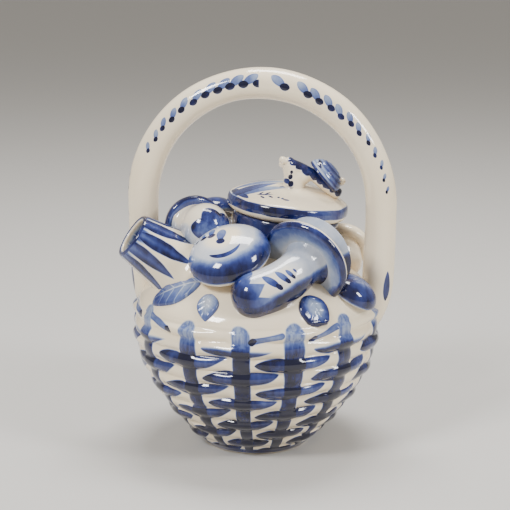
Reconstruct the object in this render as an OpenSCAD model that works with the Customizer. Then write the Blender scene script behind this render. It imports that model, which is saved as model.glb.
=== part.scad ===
// Porcelain teapot shaped as a wicker basket heaped with mushrooms.
// Millimetres, +Z up, origin at the middle of the foot on the table.
// The front faces -Y and the spout points to -X.

/* [Basket] */
// Largest diameter of the basket
basket_d = 137; // [133:1:141]
// Height of the woven wall, up to its rim
rim_h = 83; // [81:1:85]
// Diameter of the foot ring
foot_d = 58; // [54:1:62]
// Thickness of the porcelain wall
wall = 4; // [3:0.5:4.5]
// Rows of weaving, counted up the wall
weave_rows = 11; // [9:1:12]
// Upright staves, counted round the wall
staves = 13; // [11:1:15]
// How far the weave stands proud of the wall
relief = 0.9; // [0.6:0.1:1.2]

/* [Neck and lid] */
// Inside diameter of the neck
neck_bore_d = 50; // [48:1:52]
// Largest diameter of the lid
lid_d = 67.4; // [66:0.2:68]
// Height of the lid above its seat
lid_h = 17.5; // [16:0.5:19]
// Lean of the neck and lid towards the right
neck_lean = 6.8; // [5:0.1:8]
// Depth of the lid's locating ring
ring_depth = 8; // [6:0.5:9]

/* [Spout] */
// Outside diameter of the spout's mouth
mouth_d = 25.6; // [24:0.2:27]
// Length of the spout from the shoulder to its mouth
spout_len = 30; // [28:1:31]

/* [Handle] */
// Overall height of the teapot, at the top of the handle
total_h = 210; // [208:1:216]
// Width of the handle's arch, centre to centre
arch_w = 132; // [130:1:134]
// Diameter of the handle's round section
handle_d = 17; // [15:0.5:18]
// Turn of the handle about the upright axis
handle_turn = -8; // [-9:0.5:-6]

/* [Hidden] */
$fn = 48;

porcelain = [0.93, 0.90, 0.84];
pale_blue = [0.62, 0.70, 0.82];
cobalt = [0.20, 0.29, 0.62];
navy = [0.09, 0.11, 0.33];

belly_r = basket_d / 2 - relief;
foot_r = foot_d / 2;
belly_z = 70;
rim_r = wall_r(rim_h) - 0.5;
shoulder_h = 33;
floor_z = 6;
foot_recess = 2;
stave_turn = -8;
stave_angle = 8;
overlap = 1;

seat = [16.7, 8, 128];
neck_axis = [sin(neck_lean), 0, cos(neck_lean)];
collar_r = neck_bore_d / 2 + 4.5;
collar_drop = 32;
seat_gap = 0.3;
ring_r = neck_bore_d / 2 - 0.7;
lid_r = lid_d / 2;
lid_wall = 3.2;
lid_step_z = 9;

spout_axis = [-0.80, -0.17, 0.575];
spout_root = [-43.5, -13.5, 104.3];
spout_root_r = 19.6;
spout_sink = 8;
spout_wall = 3.4;
strainer_hole_d = 3;
strainer_ring_r = 7;
strainer_sink = 14;
strainer_hole_len = 18;
leaf_fn = 120;
leaf_sink = 6;
leaf_rise = 2;
basket_fn = 144;

arch_r = arch_w / 2;
arch_x = 2.5;
arch_z = total_h - handle_d / 2 - arch_r;
upright_bend_r = 800;
upright_bend_a = 2.9;
foot_bend_r = 40;
foot_bend_a = 42;
foot_steps = 6;
arch_steps = 30;
handle_sides = 24;

// Radius of the wall at height z: a quarter sine from the foot to the belly
function wall_r(z) = foot_r + (belly_r - foot_r) * sin(90 * pow(z / belly_z, 0.95));

// Height of the smooth shoulder at radius r, with its crown cut back by drop
function shoulder_z(r, drop = 0) =
    rim_h + (shoulder_h - drop) * pow(1 - pow(r / (rim_r - drop), 2), 0.75);

// Height of the lower edge of weaving row k
function row_z(k) = rim_h * pow(k / weave_rows, 1.12);

// Radius at which step i of n runs from the rim in to the axis, closer set near the rim
function shoulder_r(i, n, drop = 0) = (rim_r - drop) * cos(90 * i / n);

// Outline of the weave: a groove under each row and a bulge at its middle
weave_outline = [
    for (k = [0 : weave_rows - 1])
        for (s = [0, 0.3, 0.7])
            let (z = row_z(k) + s * (row_z(k + 1) - row_z(k)))
            [wall_r(z) + (s == 0 ? -relief : 0), z]
];
shoulder_steps = 10;
shoulder_outline = [
    for (i = [0 : shoulder_steps])
        [shoulder_r(i, shoulder_steps), shoulder_z(shoulder_r(i, shoulder_steps))]
];
cavity_steps = 8;
cavity_outline = concat(
    [[0, floor_z]],
    [for (i = [0 : cavity_steps])
        let (z = floor_z + i * (rim_h - floor_z) / cavity_steps)
        [wall_r(z) - wall - relief, z]],
    [for (i = [1 : shoulder_steps])
        let (r = (wall_r(rim_h) - wall - relief) * cos(90 * i / shoulder_steps))
        [r, rim_h + (shoulder_h - wall) * pow(1 - pow(cos(90 * i / shoulder_steps), 2), 0.75)]]
);

// The handle's route: middle of the section [x, z] and the way its outer side faces
function upright_ring(b) =
    [arch_r + upright_bend_r * (cos(b) - 1), -upright_bend_r * sin(b), -b];
function foot_ring(b) =
    let (start = upright_ring(upright_bend_a))
    [start[0] + foot_bend_r * (cos(b) - cos(upright_bend_a)),
     start[1] - foot_bend_r * (sin(b) - sin(upright_bend_a)), -b];
function mirror_ring(ring) = [-ring[0], ring[1], 180 - ring[2]];

right_rings = concat(
    [for (i = [0 : foot_steps - 1])
        foot_ring(upright_bend_a + foot_bend_a * (1 - i / foot_steps))],
    [for (i = [0 : 1]) upright_ring(upright_bend_a * (1 - i / 2))]
);
handle_rings = concat(
    right_rings,
    [for (i = [0 : arch_steps])
        let (a = 180 * i / arch_steps) [arch_r * cos(a), arch_r * sin(a), a]],
    [for (i = [len(right_rings) - 1 : -1 : 0]) mirror_ring(right_rings[i])]
);

// Points round the section at one ring of the route
function handle_ring_points(ring) = [
    for (k = [0 : handle_sides - 1])
        let (phi = 360 * k / handle_sides, out = handle_d / 2 * cos(phi))
        [ring[0] + out * cos(ring[2]), handle_d / 2 * sin(phi), ring[1] + out * sin(ring[2])]
];
handle_faces = concat(
    [[for (k = [0 : handle_sides - 1]) k]],
    [for (i = [0 : len(handle_rings) - 2])
        for (k = [0 : handle_sides - 1])
            let (a = i * handle_sides, next = (k + 1) % handle_sides)
            [a + k, a + handle_sides + k, a + handle_sides + next, a + next]],
    [[for (k = [handle_sides - 1 : -1 : 0]) (len(handle_rings) - 1) * handle_sides + k]]
);

// Half outline of a mushroom cap: rounded lip of radius lip, domed top of height h
function cap_outline(r, h, lip) = concat(
    [[0, -lip]],
    [for (a = [-90 : 30 : -30]) [r - lip + lip * cos(a), lip * sin(a)]],
    [for (a = [0 : 10 : 90]) [r * cos(a), h * sin(a)]]
);

// Sets its children at point p with their +Z along direction v
module aim(p, v) {
    translate(p)
        rotate([0, acos(v[2] / norm(v)), atan2(v[1], v[0])])
            children();
}

module basket_outer() {
    union() {
        rotate_extrude($fn = basket_fn)
            polygon(concat([[0, 0]], weave_outline, shoulder_outline));
        for (k = [0 : staves - 1])
            rotate([0, 0, -90 + stave_turn + k * 360 / staves - stave_angle / 2])
                stave();
    }
}

// One upright stave of the weave, a narrow wedge that follows the wall
module stave() {
    stave_top = rim_h - 4;
    rotate_extrude(angle = stave_angle)
        polygon(concat(
            [[foot_r - 4, 3]],
            [for (i = [0 : 8]) let (z = 3 + i * (stave_top - 3) / 8) [wall_r(z) + relief, z]],
            [[wall_r(stave_top) - wall, stave_top]],
            [[foot_r, 12]]
        ));
}

module basket_body() {
    color(porcelain)
        difference() {
            basket_outer();
            rotate_extrude($fn = basket_fn) polygon(cavity_outline);
            translate([0, 0, -overlap]) cylinder(h = foot_recess + overlap, r = foot_r - 5);
            aim(seat, neck_axis)
                translate([0, 0, -collar_drop])
                    cylinder(h = collar_drop + overlap, d = neck_bore_d);
            strainer();
        }
}

// Seven holes that lead from the pot into the spout
module strainer() {
    aim(spout_root, spout_axis)
        translate([0, 0, -strainer_sink]) {
            cylinder(h = strainer_hole_len, d = strainer_hole_d);
            for (a = [0 : 60 : 300])
                rotate([0, 0, a])
                    translate([strainer_ring_r, 0, 0])
                        cylinder(h = strainer_hole_len, d = strainer_hole_d);
        }
}

module neck_outer() {
    aim(seat, neck_axis)
        translate([0, 0, -collar_drop])
            cylinder(h = collar_drop, r = collar_r);
}

module neck_collar() {
    color(navy)
        difference() {
            neck_outer();
            aim(seat, neck_axis)
                translate([0, 0, -collar_drop - overlap])
                    cylinder(h = collar_drop + 2 * overlap, d = neck_bore_d);
            basket_outer();
        }
}

module spout_outer() {
    aim(spout_root, spout_axis)
        translate([0, 0, -spout_sink])
            cylinder(h = spout_len + spout_sink, r1 = spout_root_r, r2 = mouth_d / 2);
}

module spout() {
    color(porcelain)
        difference() {
            spout_outer();
            aim(spout_root, spout_axis)
                translate([0, 0, -spout_sink - overlap])
                    cylinder(
                        h = spout_len + spout_sink + 2 * overlap,
                        r1 = spout_root_r - spout_wall,
                        r2 = mouth_d / 2 - spout_wall
                    );
            basket_outer();
        }
}

module handle() {
    color(porcelain)
        difference() {
            rotate([0, 0, handle_turn])
                translate([arch_x, 0, arch_z])
                    polyhedron(
                        points = [for (ring = handle_rings) each handle_ring_points(ring)],
                        faces = handle_faces
                    );
            basket_outer();
        }
}

cap_lip = 2.4;

// A cap of radius r and height h, with its dome towards direction v
module cap(p, v, r, h, lip = cap_lip) {
    aim(p, v) rotate_extrude() polygon(cap_outline(r, h, lip));
}

// A straight stem from point p along direction v, thickening to a round end
module stem(p, v, len, neck_r, end_r) {
    aim(p, v)
        rotate_extrude()
            polygon(concat(
                [[0, 0], [neck_r, 0]],
                [for (a = [0 : 15 : 90]) [end_r * cos(a), len - end_r + end_r * sin(a)]]
            ));
}

left_pos = [-34.6, -2, 124];
left_axis = [-0.35, 0.92, 0.15];

module left_cap() {
    color(pale_blue)
        difference() {
            left_cap_shape();
            basket_outer();
            spout_outer();
        }
}

module left_cap_shape() {
    cap(left_pos, left_axis, 16.5, 9);
}

module left_stem() {
    color(porcelain)
        difference() {
            stem(left_pos - cap_lip * left_axis, [0.37, -0.91, 0.05], 26, 11, 13);
            left_cap_shape();
            front_left_cap_shape();
            basket_outer();
            spout_outer();
        }
}

module front_left_cap() {
    color(porcelain)
        difference() {
            front_left_cap_shape();
            basket_outer();
            spout_outer();
        }
}

module front_left_cap_shape() {
    cap([-14.5, -38, 114.6], [-0.22, -0.43, 0.87], 22, 12, 4.5);
}

front_right_pos = [26, -38, 111.3];
front_right_axis = [0.52, 0.77, 0.36];

module front_right_cap_shape() {
    cap(front_right_pos, front_right_axis, 24.5, 11, 2.6);
}

module front_right_cap() {
    color(pale_blue)
        difference() {
            front_right_cap_shape();
            basket_outer();
            neck_outer();
            front_left_cap_shape();
        }
}

// Centres and radii of the bent stem, from under the cap to its fat end
bend = [
    [[24.2, -41, 110.2], 10.5],
    [[17.8, -48, 105.6], 11.5],
    [[8, -53.5, 99.5], 12.4],
    [[-6.5, -56.5, 95.5], 12.8]
];

module front_right_stem() {
    color(pale_blue)
        difference() {
            for (i = [0 : len(bend) - 2])
                hull() {
                    translate(bend[i][0]) sphere(r = bend[i][1], $fn = 32);
                    translate(bend[i + 1][0]) sphere(r = bend[i + 1][1], $fn = 32);
                }
            front_right_cap_shape();
            front_left_cap_shape();
            basket_outer();
        }
}

module right_cap() {
    color(navy)
        difference() {
            cap([51.5, -29, 92], [0.50, -0.12, 0.86], 14, 9);
            basket_outer();
            front_right_cap_shape();
        }
}

back_right_pos = [52, 22, 108];
back_right_axis = [0.40, 0.70, 0.60];

module back_right_cap_shape() {
    cap(back_right_pos, back_right_axis, 14.5, 8);
}

module back_right_cap() {
    color(porcelain)
        difference() {
            back_right_cap_shape();
            basket_outer();
            neck_outer();
        }
}

module back_right_stem() {
    color(porcelain)
        difference() {
            stem(back_right_pos - cap_lip * back_right_axis, [0.02, -0.80, -0.60], 20, 7.5, 8.5);
            back_right_cap_shape();
            basket_outer();
            neck_outer();
        }
}

back_left_pos = [-25, 27, 122];
back_left_axis = [-0.30, 0.50, 0.81];

module back_left_cap() {
    color(cobalt)
        difference() {
            cap(back_left_pos, back_left_axis, 14.5, 11);
            left_cap_shape();
        }
}

module back_left_stem() {
    color(porcelain)
        difference() {
            stem(back_left_pos - cap_lip * back_left_axis, -1 * back_left_axis, 16, 8.5, 9.5);
            left_cap_shape();
            basket_outer();
        }
}

back_pos = [7, 52.5, 105];
back_axis = [0.12, 0.82, 0.56];
back_lip = 3.5;

module back_cap_shape() {
    cap(back_pos, back_axis, 21, 12, back_lip);
}

module back_cap() {
    color(pale_blue)
        difference() {
            back_cap_shape();
            basket_outer();
            neck_outer();
        }
}

module back_stem() {
    color(porcelain)
        difference() {
            stem(back_pos - back_lip * back_axis, [0.35, -0.72, -0.60], 22, 10, 11);
            back_cap_shape();
            basket_outer();
            neck_outer();
        }
}

// A pointed leaf lying on the shoulder at angle a and radius r, turned by t
module leaf(a, r, t, len, w) {
    round_r = (len * len / 4 + w * w / 4) / w;
    slope = atan2(shoulder_z(r - 3) - shoulder_z(r + 3), 6);
    color(pale_blue)
        difference() {
            rotate([0, 0, a])
                translate([r, 0, shoulder_z(r)])
                    rotate([0, slope, 0])
                        rotate([0, 0, t])
                            translate([0, 0, -leaf_sink])
                                linear_extrude(leaf_sink + leaf_rise)
                                    intersection() {
                                        translate([0, round_r - w / 2]) circle(r = round_r, $fn = leaf_fn);
                                        translate([0, w / 2 - round_r]) circle(r = round_r, $fn = leaf_fn);
                                    }
            basket_outer();
            spout_outer();
            front_left_cap_shape();
        }
}

module lid_outline_solid() {
    rotate_extrude()
        polygon(concat(
            [[0, seat_gap], [lid_r - 4, seat_gap]],
            [for (a = [-60 : 30 : 0]) [lid_r - 3 + 3 * cos(a), 4.5 + 3 * sin(a)]],
            [for (a = [0 : 9 : 90])
                [(lid_r - 1.2) * cos(a), lid_step_z + (lid_h - lid_step_z) * sin(a)]]
        ));
}

module lid() {
    color(porcelain)
        aim(seat, neck_axis)
            difference() {
                union() {
                    lid_outline_solid();
                    translate([0, 0, -ring_depth])
                        cylinder(h = ring_depth + 2 * overlap, r = ring_r);
                }
                rotate_extrude()
                    polygon(concat(
                        [[0, -ring_depth - overlap], [ring_r - lid_wall, -ring_depth - overlap]],
                        [for (a = [0 : 15 : 90])
                            [(ring_r - lid_wall) * cos(a),
                             lid_step_z - lid_wall + (lid_h - lid_step_z) * sin(a)]]
                    ));
            }
}

// One rounded slab of the snail's body between two points, w thick from front to back
module slab(a, ra, b, rb, w) {
    hull()
        for (side = [-1, 1]) {
            translate([a[0], a[1] + side * (w / 2 - ra / 2), a[2]]) sphere(r = ra, $fn = 32);
            translate([b[0], b[1] + side * (w / 2 - rb / 2), b[2]]) sphere(r = rb, $fn = 32);
        }
}

snail_y = 3;
head_r = 3.7;
chest_r = 6;
front_foot_r = 6.2;
saddle_r = 3.3;
tail_r = 4;
head_w = 10;
chest_w = 12;
back_w = 11;
head = [17.8, snail_y, 157.2];
chest = [20.8, snail_y, 148.5];
front_foot = [20.8, snail_y, 141];
saddle = [30.2, snail_y, 151.4];
tail = [43.5, snail_y, 141.2];
shell_pos = [36.8, snail_y, 149.2];
shell_axis = [0.766, 0, 0.643];
knob_pos = [47.0, snail_y - 1, 147.4];
knob_r = 2.3;
horn_r = 2.2;
shell_r = 11;
shell_h = 8.6;

module snail_body() {
    color(porcelain)
        difference() {
            union() {
                slab(head, head_r, chest, chest_r, head_w);
                slab(chest, chest_r, front_foot, front_foot_r, chest_w);
                slab(chest, chest_r, saddle, saddle_r, back_w);
                slab(saddle, saddle_r, tail, tail_r, back_w);
            }
            snail_horns();
            aim(seat, neck_axis) lid_outline_solid();
        }
}

module snail_horns() {
    color(porcelain)
        for (side = [-1, 1])
            aim(
                [head[0] - 3.4, head[1] + side * 2.6, head[2] + 0.6 - side * 1.6],
                [-0.85, side * 0.3, 0.4]
            )
                rotate_extrude()
                    polygon([for (a = [-90 : 15 : 90]) horn_r * [cos(a), sin(a)]]);
}

module snail_shell_shape() {
    aim(shell_pos, shell_axis)
        rotate_extrude()
            polygon([for (a = [0 : 10 : 90]) [shell_r * cos(a), shell_h * sin(a)], [0, 0]]);
}

module snail_shell() {
    color(cobalt)
        difference() {
            snail_shell_shape();
            slab(head, head_r, chest, chest_r, head_w);
            slab(chest, chest_r, saddle, saddle_r, back_w);
            slab(saddle, saddle_r, tail, tail_r, back_w);
            snail_knob();
            aim(seat, neck_axis) lid_outline_solid();
        }
}

module snail_knob() {
    color(porcelain)
        translate(knob_pos) sphere(r = knob_r);
}

basket_body();
neck_collar();
spout();
handle();
left_cap();
left_stem();
front_left_cap();
front_right_cap();
front_right_stem();
right_cap();
back_right_cap();
back_right_stem();
back_left_cap();
back_left_stem();
back_cap();
back_stem();
leaf(-139.5, 56, -52, 31, 18);  // pointed_leaf
leaf(-115, 60.5, 8, 17, 12.5);  // small_leaf
leaf(-60.8, 62.6, 17, 21.2, 17.2);  // round_leaf
leaf(125, 56, 50, 30, 14);  // back_left_leaf
leaf(150, 60, -15, 18, 12);  // back_leaf
leaf(55, 58, 60, 26, 14);  // back_right_leaf
lid();
snail_body();
snail_horns();
snail_shell();
snail_knob();
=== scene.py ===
"""Porcelain teapot shaped as a basket of mushrooms, painted in cobalt under a clear glaze."""
import math

import bmesh
import bpy
from mathutils import Matrix, Vector


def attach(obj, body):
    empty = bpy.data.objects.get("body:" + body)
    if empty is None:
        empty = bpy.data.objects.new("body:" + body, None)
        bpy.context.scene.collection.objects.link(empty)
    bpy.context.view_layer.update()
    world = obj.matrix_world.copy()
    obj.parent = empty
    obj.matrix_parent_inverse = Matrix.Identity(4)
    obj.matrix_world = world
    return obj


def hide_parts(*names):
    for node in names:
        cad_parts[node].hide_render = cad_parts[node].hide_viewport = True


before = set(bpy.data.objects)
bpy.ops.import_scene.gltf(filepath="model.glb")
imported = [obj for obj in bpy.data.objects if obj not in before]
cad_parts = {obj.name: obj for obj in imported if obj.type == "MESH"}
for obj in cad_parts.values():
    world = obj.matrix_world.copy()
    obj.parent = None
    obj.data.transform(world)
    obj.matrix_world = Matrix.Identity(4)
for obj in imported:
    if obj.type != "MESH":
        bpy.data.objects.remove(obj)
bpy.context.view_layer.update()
MM = 0.001

# ---- Floor, lights and camera ------------------------------------------------------------
# A plain pale table top, soft boxes on both sides and above, and a camera a little above the
# lid, looking slightly down.

camera_distance = 0.78
camera_height_angle = math.radians(13.0)
view_width = 0.2832
aim_point = Vector((-0.0008, 0.0, 0.1061))


def add_camera():
    data = bpy.data.cameras.new("camera")
    data.sensor_width = 36.0
    data.lens = 36.0 * camera_distance / view_width
    data.clip_start = 0.05
    data.clip_end = 20.0
    camera = bpy.data.objects.new("camera", data)
    bpy.context.collection.objects.link(camera)
    back = Vector((0.0, -math.cos(camera_height_angle), math.sin(camera_height_angle)))
    camera.location = aim_point + back * camera_distance
    camera.rotation_euler = (-back).to_track_quat("-Z", "Y").to_euler()
    bpy.context.scene.camera = camera


def add_soft_box(name, place, size, power, tint=(1.0, 1.0, 1.0)):
    data = bpy.data.lights.new(name, "AREA")
    data.shape = "RECTANGLE"
    data.size = size[0]
    data.size_y = size[1]
    data.energy = power
    data.color = tint
    light = bpy.data.objects.new(name, data)
    bpy.context.collection.objects.link(light)
    light.location = place
    aim = Vector((0.0, 0.0, 0.09)) - Vector(place)
    light.rotation_euler = aim.to_track_quat("-Z", "Y").to_euler()


def add_floor():
    floor_mesh = bmesh.new()
    bmesh.ops.create_grid(floor_mesh, x_segments=2, y_segments=2, size=14.0)
    mesh = bpy.data.meshes.new("floor")
    floor_mesh.to_mesh(mesh)
    floor_mesh.free()
    floor = bpy.data.objects.new("floor", mesh)
    bpy.context.collection.objects.link(floor)
    paint = bpy.data.materials.new("pale_table")
    paint.use_nodes = True
    surface = paint.node_tree.nodes["Principled BSDF"]
    surface.inputs["Base Color"].default_value = (0.56, 0.54, 0.51, 1.0)
    surface.inputs["Roughness"].default_value = 0.75
    mesh.materials.append(paint)


add_camera()
add_floor()
add_soft_box("left_box", (-0.75, -0.75, 0.95), (0.30, 0.30), 15.0)
add_soft_box("right_box", (0.85, -0.55, 0.75), (0.22, 0.40), 9.5)
add_soft_box("top_box", (0.05, 0.25, 1.15), (0.55, 0.35), 13.5)
world = bpy.data.worlds.new("soft_room")
world.use_nodes = True
world.node_tree.nodes["Background"].inputs["Color"].default_value = (0.86, 0.83, 0.78, 1.0)
world.node_tree.nodes["Background"].inputs["Strength"].default_value = 0.56
bpy.context.scene.world = world

# ---- Basket body -------------------------------------------------------------------------
# The slip-cast body: a hollow wall with the wickerwork in relief, a smooth shoulder, a foot
# ring, and a neck hole and strainer holes cut while the clay was leather hard. Each stave has
# a broad cobalt stroke, and each strand a spindle stroke where it passes over a stave.

foot_r = 29.0
belly_r = 67.6
belly_z = 70.0
rim_h = 83.0
shoulder_h = 33.0
rows = 11
stave_count = 13
stave_turn = -8.0
stave_stray = 0.13
row_power = 1.12
wall_t = 4.0
seat = Vector((16.7, 8.0, 128.0))
neck_lean = math.radians(6.8)
neck_axis = Vector((math.sin(neck_lean), 0.0, math.cos(neck_lean)))
neck_bore_r = 25.0
neck_cut_len = 60.0
strainer_holes = 7
strainer_hole_r = 1.5
strainer_ring_r = 7.0
strainer_cut_len = 30.0
cut_start = 6.0
stave_gap = 32.0
bar_half_len = 7.4
bar_half_width = 2.0
spout_root = Vector((-43.5, -13.5, 104.3))
spout_axis = Vector((-0.80, -0.17, 0.575)).normalized()


def wall_r(z):
    """Radius of the basket's wall at height z, a quarter sine from foot to belly."""
    return foot_r + (belly_r - foot_r) * math.sin(math.pi / 2 * (max(z, 0.0) / belly_z) ** 0.95)


rim_r = wall_r(rim_h) - 0.5


def shoulder_z(r):
    """Height of the smooth shoulder at radius r."""
    return rim_h + shoulder_h * max(0.0, 1.0 - (r / rim_r) ** 2) ** 0.75


def ease(x):
    """Smooth step from 0 to 1."""
    x = min(1.0, max(0.0, x))
    return x * x * (3.0 - 2.0 * x)


def weave_height(turn, z):
    """How far the relief stands proud at stave position turn and height z, in mm."""
    nearest = round(turn)
    row = rows * (z / rim_h) ** (1.0 / row_power)
    strand = math.floor(row)
    across = row - strand
    from_stave = turn - nearest + stave_stray * math.sin(nearest - 0.2)
    stave = math.exp(-((from_stave / 0.19) ** 4))
    over = 0.5 - 0.5 * math.cos(math.pi * (turn + strand))
    bulge = math.sin(math.pi * across) ** 0.6
    strand_height = bulge * (1.8 + 2.3 * over)
    stave_height = 2.6 * stave
    rise = math.sqrt(strand_height ** 2 + stave_height ** 2 * (1.0 - 0.6 * over * bulge))
    fade = ease((z - 2.5) / 5.0) * ease((rim_h - 0.5 - z) / 3.5)
    return rise * fade


def rolled_sheet(columns, rings, place):
    """A grid whose points place(u, w) sets, u across and w along, with its edges joined."""
    sheet = bmesh.new()
    bmesh.ops.create_grid(sheet, x_segments=columns, y_segments=rings, size=0.5)
    for vert in sheet.verts:
        vert.co = Vector(place(vert.co.x + 0.5, vert.co.y + 0.5)) * MM
    bmesh.ops.remove_doubles(sheet, verts=sheet.verts, dist=2e-6)
    bmesh.ops.recalc_face_normals(sheet, faces=sheet.faces)
    return sheet


def make_piece(name, shape, body, nodes, material):
    """Turns a bmesh into a smooth piece that rides on a body and stands for its CAD nodes."""
    mesh = bpy.data.meshes.new(name)
    shape.to_mesh(mesh)
    shape.free()
    mesh.polygons.foreach_set("use_smooth", [True] * len(mesh.polygons))
    piece = bpy.data.objects.new(name, mesh)
    bpy.context.collection.objects.link(piece)
    mesh.materials.append(material)
    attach(piece, body)
    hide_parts(*nodes)
    return piece


def to_place(shape, place, axis):
    """Moves a shape in mm so that its +Z lies along axis from point place."""
    axis = Vector(axis).normalized()
    turn = Matrix.Rotation(math.atan2(axis.y, axis.x), 4, "Z")
    tilt = Matrix.Rotation(math.acos(max(-1.0, min(1.0, axis.z))), 4, "Y")
    move = Matrix.Translation(Vector(place) * MM)
    bmesh.ops.transform(shape, matrix=move @ turn @ tilt, verts=shape.verts)


def own_frame(axis):
    """Euler angles of the frame that to_place sets."""
    axis = Vector(axis).normalized()
    turn = Matrix.Rotation(math.atan2(axis.y, axis.x), 3, "Z")
    tilt = Matrix.Rotation(math.acos(max(-1.0, min(1.0, axis.z))), 3, "Y")
    return (turn @ tilt).to_euler("XYZ")


class Sums:
    """Builds maths nodes in one node tree."""

    def __init__(self, tree):
        self.tree = tree

    def node(self, kind, **settings):
        made = self.tree.nodes.new(kind)
        for key, value in settings.items():
            setattr(made, key, value)
        return made

    def put(self, socket, value):
        if isinstance(value, bpy.types.NodeSocket):
            self.tree.links.new(value, socket)
        else:
            socket.default_value = value

    def do(self, operation, *values, clamp=False):
        made = self.node("ShaderNodeMath", operation=operation, use_clamp=clamp)
        for socket, value in zip(made.inputs, values):
            self.put(socket, value)
        return made.outputs[0]

    def add(self, a, b):
        return self.do("ADD", a, b)

    def sub(self, a, b):
        return self.do("SUBTRACT", a, b)

    def mul(self, a, b):
        return self.do("MULTIPLY", a, b)

    def most(self, *values):
        result = values[0]
        for value in values[1:]:
            result = self.do("MAXIMUM", result, value)
        return result

    def step(self, value, low, high, to_low=0.0, to_high=1.0):
        """Smooth step of value between low and high."""
        made = self.node("ShaderNodeMapRange", interpolation_type="SMOOTHSTEP")
        for socket, item in zip(made.inputs, (value, low, high, to_low, to_high)):
            self.put(socket, item)
        return made.outputs[0]

    def split(self, vector):
        made = self.node("ShaderNodeSeparateXYZ")
        self.put(made.inputs[0], vector)
        return made.outputs[0], made.outputs[1], made.outputs[2]

    def place(self):
        """The point on the piece in metres, in the pot's frame."""
        return self.node("ShaderNodeTexCoord").outputs["Object"]

    def local(self, place, turn):
        """The point on the piece in mm, measured in a frame at place with the given turn."""
        made = self.node("ShaderNodeMapping", vector_type="TEXTURE")
        self.put(made.inputs["Vector"], self.place())
        made.inputs["Location"].default_value = Vector(place) * MM
        made.inputs["Rotation"].default_value = turn
        made.inputs["Scale"].default_value = (MM, MM, MM)
        return made.outputs[0]

    def mottle(self, scale, detail=2.0, stretch=(1.0, 1.0, 1.0)):
        """Noise between 0 and 1 with features of about 1/scale metres."""
        mapping = self.node("ShaderNodeMapping", vector_type="POINT")
        self.put(mapping.inputs["Vector"], self.place())
        mapping.inputs["Scale"].default_value = stretch
        made = self.node("ShaderNodeTexNoise", noise_dimensions="3D")
        self.put(made.inputs["Vector"], mapping.outputs[0])
        made.inputs["Scale"].default_value = scale
        made.inputs["Detail"].default_value = detail
        return made.outputs[0]


def new_group(name, inputs, outputs):
    """A shader node group with named float inputs and typed outputs."""
    tree = bpy.data.node_groups.new(name, "ShaderNodeTree")
    for title, value in inputs:
        socket = tree.interface.new_socket(title, in_out="INPUT", socket_type="NodeSocketFloat")
        socket.default_value = value
    for title, kind in outputs:
        tree.interface.new_socket(title, in_out="OUTPUT", socket_type=kind)
    start = tree.nodes.new("NodeGroupInput")
    end = tree.nodes.new("NodeGroupOutput")
    return tree, start, end


def make_brush_stroke():
    """One stroke of a loaded brush: a spindle or drop, darker where the paint pooled."""
    tree, start, end = new_group(
        "brush_stroke",
        [("Along", 0.0), ("Across", 0.0), ("Half Length", 5.0), ("Half Width", 1.5),
         ("Skew", 0.0), ("Load Start", 0.6), ("Load End", 0.9)],
        [("Paint", "NodeSocketFloat")])
    s = Sums(tree)
    along = start.outputs["Along"]
    across = start.outputs["Across"]
    t = s.do("DIVIDE", along, start.outputs["Half Length"])
    room = s.do("MAXIMUM", s.sub(1.0, s.mul(t, t)), 0.0)
    outline = s.mul(s.do("POWER", room, 0.6),
                    s.do("MAXIMUM", s.add(1.0, s.mul(t, start.outputs["Skew"])), 0.0))
    reach = s.do("DIVIDE", s.do("ABSOLUTE", across), start.outputs["Half Width"])
    edge = s.sub(outline, reach)
    mask = s.step(edge, 0.0, 0.22)
    load = s.step(t, -1.0, 1.0, start.outputs["Load Start"], start.outputs["Load End"])
    pooled = s.step(edge, 0.08, 0.45, 0.12, 0.0)
    s.tree.links.new(s.mul(mask, s.add(load, pooled)), end.inputs["Paint"])
    return tree


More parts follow.
